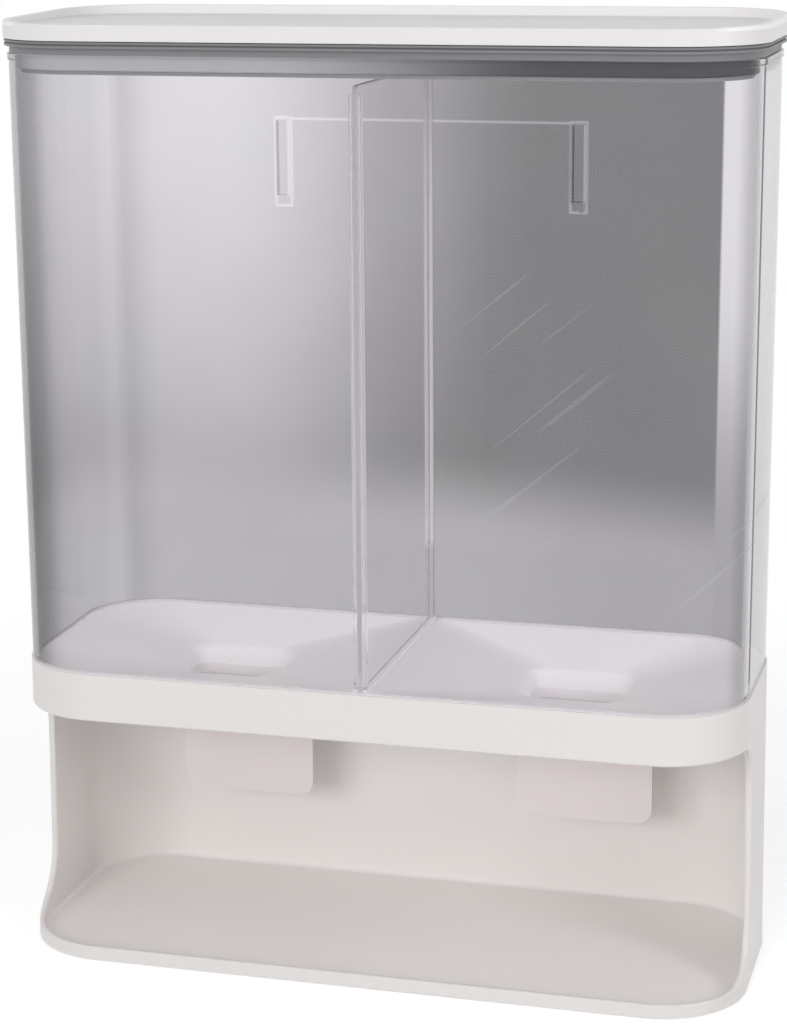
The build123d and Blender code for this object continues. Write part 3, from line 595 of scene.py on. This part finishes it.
# A painted highlight up the back right corner, brighter higher up.
RIGHT_CORNER_X = (0.1355, 0.1372)
RIGHT_CORNER_Z = (0.19, 0.33)
RIGHT_CORNER_HIGHLIGHT_SHARES = (0.385, 0.75)
# Painted shade of its own on the right end.
RIGHT_END_X = (0.156, 0.162)
RIGHT_END_SHARE = 0.64
# Painted highlights round the hanger's legs and along its ledge.
LEG_X = 0.0699
LEG_Z = 0.3525
LEG_HALF_WIDTH = 0.0037
LEG_HALF_HEIGHT = 0.0204
LEDGE_Z = 0.3725
LEDGE_HALF_LENGTH = (0.067, 0.066)
LEDGE_EDGE = (0.0009, 0.0002)
LEG_EDGE = (0.0010, 0.0002)
EDGE_PAINTED_HIGHLIGHT_SHARE = 0.17
# Milky white painted as highlights on the divider guides and as light on the foot.
GUIDE_X = (0.0056, 0.0052)
GUIDE_Y = (0.0602, 0.0599)
GUIDE_Z = (0.170, 0.177, 0.3935, 0.3945)
GUIDE_PAINTED_HIGHLIGHT_SHARE = 0.62
FROST_AND_PAINTED_LIGHT_COLOUR = (0.72, 0.705, 0.725, 1.0)
FOOT_PAINTED_LIGHT_Z = (0.1376, 0.1365)
CLOUD_SHARES = (0.975, 1.025)
SCRATCH_SIZE = (0.11, 0.11, 0.0028)
SCRATCH_TILT = -0.7
SCRATCHED_X = (0.03, 0.07)
SCRATCHED_SHARES = (0.15, 1.0)
SCRATCH_HAZE_SHARE = 0.05
SHADOW_TINT = (0.99, 0.985, 0.99, 1.0)


def blend_of(tree, factor, first, second):
    """A value between two others."""
    return put(tree, "ShaderNodeMix", Factor=factor, A=first, B=second).outputs["Result"]


def away(tree, value, centre):
    """How far a value is from a centre."""
    return reckon(tree, "ABSOLUTE", reckon(tree, "SUBTRACT", value, centre))


def wall_painted_light_and_shade():
    """Group: how clear the wall is at each place as painted light and shade, fitted to the photo, and where
    milky white paints highlights and light.
    """
    group, _, result = new_group(
        "wall_painted_light_and_shade", ("Clear", "OUTPUT", "Color"), ("Painted_Light_Frost", "OUTPUT", "Float"))
    place = put(group, "ShaderNodeTexCoord").outputs["Object"]
    split = put(group, "ShaderNodeSeparateXYZ", Vector=place).outputs
    # A painted pool of light at the upper left, fading into painted shade.
    across = reckon(group, "DIVIDE", away(group, split["X"], GLOW_X), GLOW_REACH_X)
    down = reckon(group, "DIVIDE", away(group, split["Z"], GLOW_Z), GLOW_REACH_Z)
    squares = reckon(group, "ADD", reckon(group, "POWER", across, 2.0), reckon(group, "POWER", down, 2.0))
    painted_share = ramp(group, reckon(group, "SQRT", squares), 0.0, 1.0, *GLOW_SHARES)
    # A painted band of light and shade low down, lighter on the left.
    slanted = reckon(group, "ADD", split["Z"], reckon(group, "MULTIPLY", split["X"], LOW_ZONE_SLANT))
    low_zone = ramp(group, split["X"], *LOW_ZONE_X, *LOW_ZONE_SHARES)
    painted_share = blend_of(group, ramp(group, slanted, *LOW_ZONE_Z), painted_share, low_zone)
    side = reckon(group, "ABSOLUTE", split["X"])
    # Painted highlights round the hanger's legs and along its ledge.
    beside = reckon(group, "SUBTRACT", away(group, side, LEG_X), LEG_HALF_WIDTH)
    beyond = reckon(group, "SUBTRACT", away(group, split["Z"], LEG_Z), LEG_HALF_HEIGHT)
    from_boss = reckon(group, "ABSOLUTE", reckon(group, "MAXIMUM", beside, beyond))
    ledge = ramp(group, away(group, split["Z"], LEDGE_Z), *LEDGE_EDGE)
    ledge = reckon(group, "MULTIPLY", ledge, ramp(group, side, *LEDGE_HALF_LENGTH))
    painted_edge_highlight = reckon(group, "MAXIMUM", ramp(group, from_boss, *LEG_EDGE), ledge)
    painted_share = reckon(group, "ADD", painted_share, reckon(group, "MULTIPLY", painted_edge_highlight, EDGE_PAINTED_HIGHLIGHT_SHARE))
    # A painted highlight up the back right corner.
    corner = ramp(group, split["Z"], *RIGHT_CORNER_Z, *RIGHT_CORNER_HIGHLIGHT_SHARES)
    painted_share = blend_of(group, ramp(group, split["X"], *RIGHT_CORNER_X), painted_share, corner)
    # The front stays nearly clear; the back takes the painted light and shade.
    share = blend_of(group, ramp(group, split["Y"], *BACK_Y), FRONT_CLEAR_SHARE, painted_share)
    # Painted stripes of light and shade down the left end.
    along = put(group, "ShaderNodeMapRange", Value=split["Y"], From_Min=LEFT_END_Y[0], From_Max=LEFT_END_Y[1])
    bands = put(group, "ShaderNodeValToRGB", Fac=along.outputs["Result"])
    stops = bands.color_ramp.elements
    for number, (stop, tone) in enumerate(LEFT_BAND_SHARES):
        element = stops[number] if number < 2 else stops.new(stop)
        element.position = stop
        element.color = (tone, tone, tone, 1.0)
    banded = reckon(group, "MULTIPLY", painted_share, bands.outputs["Color"])
    left = ramp(group, split["X"], *LEFT_END_X)
    left = reckon(group, "MULTIPLY", left, ramp(group, split["Y"], *LEFT_FRONT_Y))
    share = blend_of(group, left, share, banded)
    # Painted shade of its own on the right end.
    share = blend_of(group, ramp(group, split["X"], *RIGHT_END_X), share, RIGHT_END_SHARE)
    cloud = put(group, "ShaderNodeTexNoise", Vector=place, Scale=14.0, Detail=2.0).outputs["Fac"]
    share = reckon(group, "MULTIPLY", share, ramp(group, cloud, 0.2, 0.8, *CLOUD_SHARES))
    red, green, blue = (reckon(group, "MULTIPLY", share, tint, clamp=True) for tint in CLEAR_TINT)
    clear = put(group, "ShaderNodeCombineColor", Red=red, Green=green, Blue=blue)
    feed(group, result["Clear"], clear.outputs["Color"])
    # Milky white painted as highlights on the guides, and as light on the foot below.
    guide = reckon(group, "MULTIPLY", ramp(group, side, *GUIDE_X),
                   ramp(group, reckon(group, "ABSOLUTE", split["Y"]), *GUIDE_Y))
    guide = reckon(group, "MULTIPLY", guide, ramp(group, split["Z"], *GUIDE_Z[:2]))
    guide = reckon(group, "MULTIPLY", guide, ramp(group, split["Z"], *GUIDE_Z[:1:-1]))
    foot = ramp(group, split["Z"], *FOOT_PAINTED_LIGHT_Z)
    guide = reckon(group, "MULTIPLY", guide, GUIDE_PAINTED_HIGHLIGHT_SHARE)
    feed(group, result["Painted_Light_Frost"], reckon(group, "MAXIMUM", foot, guide))
    return group


def clear_plastic(name, clear, frost_and_painted_light, scratch):
    """Clear plastic that lets light straight through to what stands behind it."""
    material, tree, output = new_material(name)
    place = put(tree, "ShaderNodeTexCoord").outputs["Object"]
    drawn = put(tree, "ShaderNodeMapping", {"vector_type": "TEXTURE"}, Vector=place,
                Rotation=(0.0, SCRATCH_TILT, 0.0), Scale=SCRATCH_SIZE)
    streak = put(tree, "ShaderNodeTexNoise", Vector=drawn.outputs["Vector"], Scale=1.0, Detail=1.0)
    rubbed = put(tree, "ShaderNodeTexNoise", Vector=place, Scale=11.0).outputs["Fac"]
    marks = reckon(tree, "MULTIPLY", ramp(tree, streak.outputs["Fac"], 0.70, 0.74),
                   ramp(tree, rubbed, 0.44, 0.54))
    split = put(tree, "ShaderNodeSeparateXYZ", Vector=place).outputs
    marks = reckon(tree, "MULTIPLY", marks, ramp(tree, split["X"], *SCRATCHED_X, *SCRATCHED_SHARES))
    roughness = reckon(tree, "MULTIPLY", marks, scratch)
    sink = put(tree, "ShaderNodeBump", Strength=0.02, Distance=0.0002, Height=marks)
    glass = put(tree, "ShaderNodeBsdfPrincipled", Base_Color=clear(tree), Roughness=roughness,
                Normal=sink.outputs["Normal"])
    glass.inputs["IOR"].default_value = CLEAR_IOR
    glass.inputs["Transmission Weight"].default_value = 1.0
    white = put(tree, "ShaderNodeBsdfDiffuse", Color=FROST_AND_PAINTED_LIGHT_COLOUR)
    hazy = reckon(tree, "MAXIMUM", frost_and_painted_light(tree), reckon(tree, "MULTIPLY", marks, SCRATCH_HAZE_SHARE))
    body = put(tree, "ShaderNodeMixShader", Fac=hazy)
    feed(tree, body.inputs[1], glass.outputs["BSDF"])
    feed(tree, body.inputs[2], white.outputs["BSDF"])
    path = put(tree, "ShaderNodeLightPath").outputs
    carried = reckon(tree, "MAXIMUM", path["Is Shadow Ray"], path["Is Diffuse Ray"])
    through = put(tree, "ShaderNodeBsdfTransparent", Color=SHADOW_TINT)
    mixed = put(tree, "ShaderNodeMixShader", Fac=carried)
    feed(tree, mixed.inputs[1], body.outputs["Shader"])
    feed(tree, mixed.inputs[2], through.outputs["BSDF"])
    feed(tree, output.inputs["Surface"], mixed.outputs["Shader"])
    return material


wall_painted_light_group = wall_painted_light_and_shade()


def wall_painted_light_output(socket):
    """A call that adds the wall's group to a tree and gives one of its outputs."""
    return lambda tree: put(tree, "ShaderNodeGroup", {"node_tree": wall_painted_light_group}).outputs[socket]


dress("container", clear_plastic("clear_shell", wall_painted_light_output("Clear"), wall_painted_light_output("Painted_Light_Frost"), 0.12))

# Divider: a clear plate cut from extruded styrene sheet that slides down between the guides. Its sawn
# edges are milky.
DIVIDER_CLEAR = (0.985, 0.975, 0.992, 1.0)
DIVIDER_CORNER = 0.004
DIVIDER_EDGE = 0.0009
DIVIDER_EDGE_SHARE = 0.6
divider_low, divider_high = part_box("divider")


def even_clear(tree):
    """Nearly clear, with a faint cloud."""
    place = put(tree, "ShaderNodeTexCoord").outputs["Object"]
    cloud = put(tree, "ShaderNodeTexNoise", Vector=place, Scale=20.0).outputs["Fac"]
    value = ramp(tree, cloud, 0.2, 0.8, 0.985, 1.0)
    return put(tree, "ShaderNodeHueSaturation", Color=DIVIDER_CLEAR, Value=value).outputs["Color"]


def milky_edge(tree):
    """Milky within a little of the plate's round-cornered edge."""
    place = put(tree, "ShaderNodeTexCoord").outputs["Object"]
    split = put(tree, "ShaderNodeSeparateXYZ", Vector=place).outputs
    past = []
    for axis, name in ((1, "Y"), (2, "Z")):
        middle = (divider_low[axis] + divider_high[axis]) / 2
        reach = (divider_high[axis] - divider_low[axis]) / 2 - DIVIDER_CORNER
        past.append(reckon(tree, "SUBTRACT", away(tree, split[name], middle), reach))
    squares = [reckon(tree, "POWER", reckon(tree, "MAXIMUM", value, 0.0), 2.0) for value in past]
    outside = reckon(tree, "SQRT", reckon(tree, "ADD", *squares))
    inside = reckon(tree, "MINIMUM", reckon(tree, "MAXIMUM", *past), 0.0)
    from_edge = reckon(tree, "SUBTRACT", DIVIDER_CORNER, reckon(tree, "ADD", outside, inside))
    return ramp(tree, from_edge, DIVIDER_EDGE, DIVIDER_EDGE / 2, 0.0, DIVIDER_EDGE_SHARE)


dress("divider", clear_plastic("clear_plate", even_clear, milky_edge, 0.15))

# Lid cover: a white ABS pan with a thin rim and a shallow dish on top. It lifts straight off, and its
# spigot carries the liner and the seal.
LID_COLOUR = (0.795, 0.78, 0.775, 1.0)
# The lighter white of the rim is painted light.
RIM_PAINTED_LIGHT_COLOUR = (0.94, 0.93, 0.925, 1.0)
RIM_Z = (0.4200, 0.4207)
RIM_Y = (-0.060, -0.054)


def rim_painted_light_tone(tree):
    """The lid's white, with painted light making the rim round the dish lighter, as fitted to the photo's
    brightness.
    """
    place = put(tree, "ShaderNodeTexCoord").outputs["Object"]
    split = put(tree, "ShaderNodeSeparateXYZ", Vector=place).outputs
    rim = reckon(tree, "MULTIPLY", ramp(tree, split["Z"], *RIM_Z), ramp(tree, split["Y"], *RIM_Y))
    # Painted light on the rim.
    tone = put(tree, "ShaderNodeMix", {"data_type": "RGBA"}, Factor=rim, A=LID_COLOUR, B=RIM_PAINTED_LIGHT_COLOUR)
    return tone.outputs["Result"]


dress("lid_cover", moulded_plastic("lid_white", rim_painted_light_tone, sheen=0.34))

# Lid liner: the hidden inner pan that closes the lid from below, taken as grey ABS. It is pressed on the
# lid's spigot, and its lip keeps the seal on.
LINER_COLOUR = (0.27, 0.27, 0.28, 1.0)
dress("lid_liner", moulded_plastic("liner_grey", LINER_COLOUR, sheen=0.4))

# Lid seal: a soft grey silicone ring pushed over the lid's spigot. It has two round ribs under the lid,
# a drawn-in neck that sits on the hopper's rim and a skirt inside its mouth. The skirt's change from pale
# to dark is painted light on its left and painted shade on its right, fitted to the photo's brightness.
SEAL_COLOUR = (0.215, 0.212, 0.222, 1.0)
# The skirt's pale left and dark right are painted light and painted shade.
SKIRT_PAINTED_LIGHT = (0.43, 0.435, 0.455, 1.0)
SKIRT_PAINTED_SHADE = (0.06, 0.063, 0.072, 1.0)
SKIRT_X = (-0.05, 0.085)
SKIRT_TOP_Z = (0.4088, 0.4084)
SEAL_SHARP_ANGLE = 50
LID_PLAN = (0.1665, -0.06525, 0.06525, 0.0395)
BODY_PLAN = (0.165, -0.06375, 0.06525, 0.038)
CORNER_STEPS = 14
RIB_PROFILE = ((1.7, 414.7), (1.7, 414.4), (0.8, 414.35), (0.45, 414.2), (0.3, 413.95), (0.3, 413.6),
               (0.45, 413.35), (0.8, 413.2), (1.5, 413.1), (1.5, 412.85), (0.8, 412.8), (0.45, 412.65),
               (0.3, 412.4), (0.3, 411.85), (0.45, 411.6), (0.8, 411.4), (2.5, 411.4), (2.5, 408.5))
SKIRT_PROFILE = ((3.4, 408.5), (3.4, 402.8), (3.65, 402.25), (4.2, 402.0), (7.1, 402.0), (7.1, 414.7))


def plan_ring(mesh, plan, inset, height):
    """Vertices round a plan with round corners, drawn in by an inset."""
    half, front, back, radius = plan
    radius -= inset
    corners = ((half, back, 0), (-half, back, 90), (-half, front, 180), (half, front, 270))
    ring = []
    for x, y, start in corners:
        middle_x = x - math.copysign(radius + inset, x)
        middle_y = y - math.copysign(radius + inset, y)
        for step in range(CORNER_STEPS + 1):
            angle = math.radians(start + 90 * step / CORNER_STEPS)
            place = (middle_x + radius * math.cos(angle), middle_y + radius * math.sin(angle), height)
            ring.append(mesh.verts.new(place))
    return ring


def seal_mesh():
    """The ring swept round the hopper's mouth from both profiles, given in millimetres."""
    mesh = bmesh.new()
    outlines = [(LID_PLAN, *point) for point in RIB_PROFILE]
    outlines += [(BODY_PLAN, *point) for point in SKIRT_PROFILE]
    rings = [plan_ring(mesh, plan, inset / 1000, height / 1000) for plan, inset, height in outlines]
    for upper, lower in zip(rings, rings[1:] + rings[:1]):
        for here in range(len(upper)):
            after = (here + 1) % len(upper)
            mesh.faces.new((upper[here], lower[here], lower[after], upper[after]))
    bmesh.ops.recalc_face_normals(mesh, faces=mesh.faces)
    data = bpy.data.meshes.new("ribbed_seal")
    mesh.to_mesh(data)
    mesh.free()
    data.shade_smooth()
    data.set_sharp_from_angle(angle=math.radians(SEAL_SHARP_ANGLE))
    return data


def skirt_painted_light_tone(tree):
    """The seal's grey, with painted light on the skirt's left and painted shade on its right."""
    place = put(tree, "ShaderNodeTexCoord").outputs["Object"]
    split = put(tree, "ShaderNodeSeparateXYZ", Vector=place).outputs
    # Painted light on the skirt's left, fading into painted shade on its right.
    skirt = put(tree, "ShaderNodeMix", {"data_type": "RGBA"}, Factor=ramp(tree, split["X"], *SKIRT_X),
                A=SKIRT_PAINTED_LIGHT, B=SKIRT_PAINTED_SHADE)
    below = ramp(tree, split["Z"], *SKIRT_TOP_Z)
    tone = put(tree, "ShaderNodeMix", {"data_type": "RGBA"}, Factor=below, A=SEAL_COLOUR,
               B=skirt.outputs["Result"])
    return tone.outputs["Result"]


seal = linked("ribbed_seal", seal_mesh())
seal.data.materials.append(moulded_plastic("seal_grey", skirt_painted_light_tone, mottle=0.1, sheen=0.5, peel_scale=1500.0))
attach(seal, "lid")
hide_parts("lid_seal")
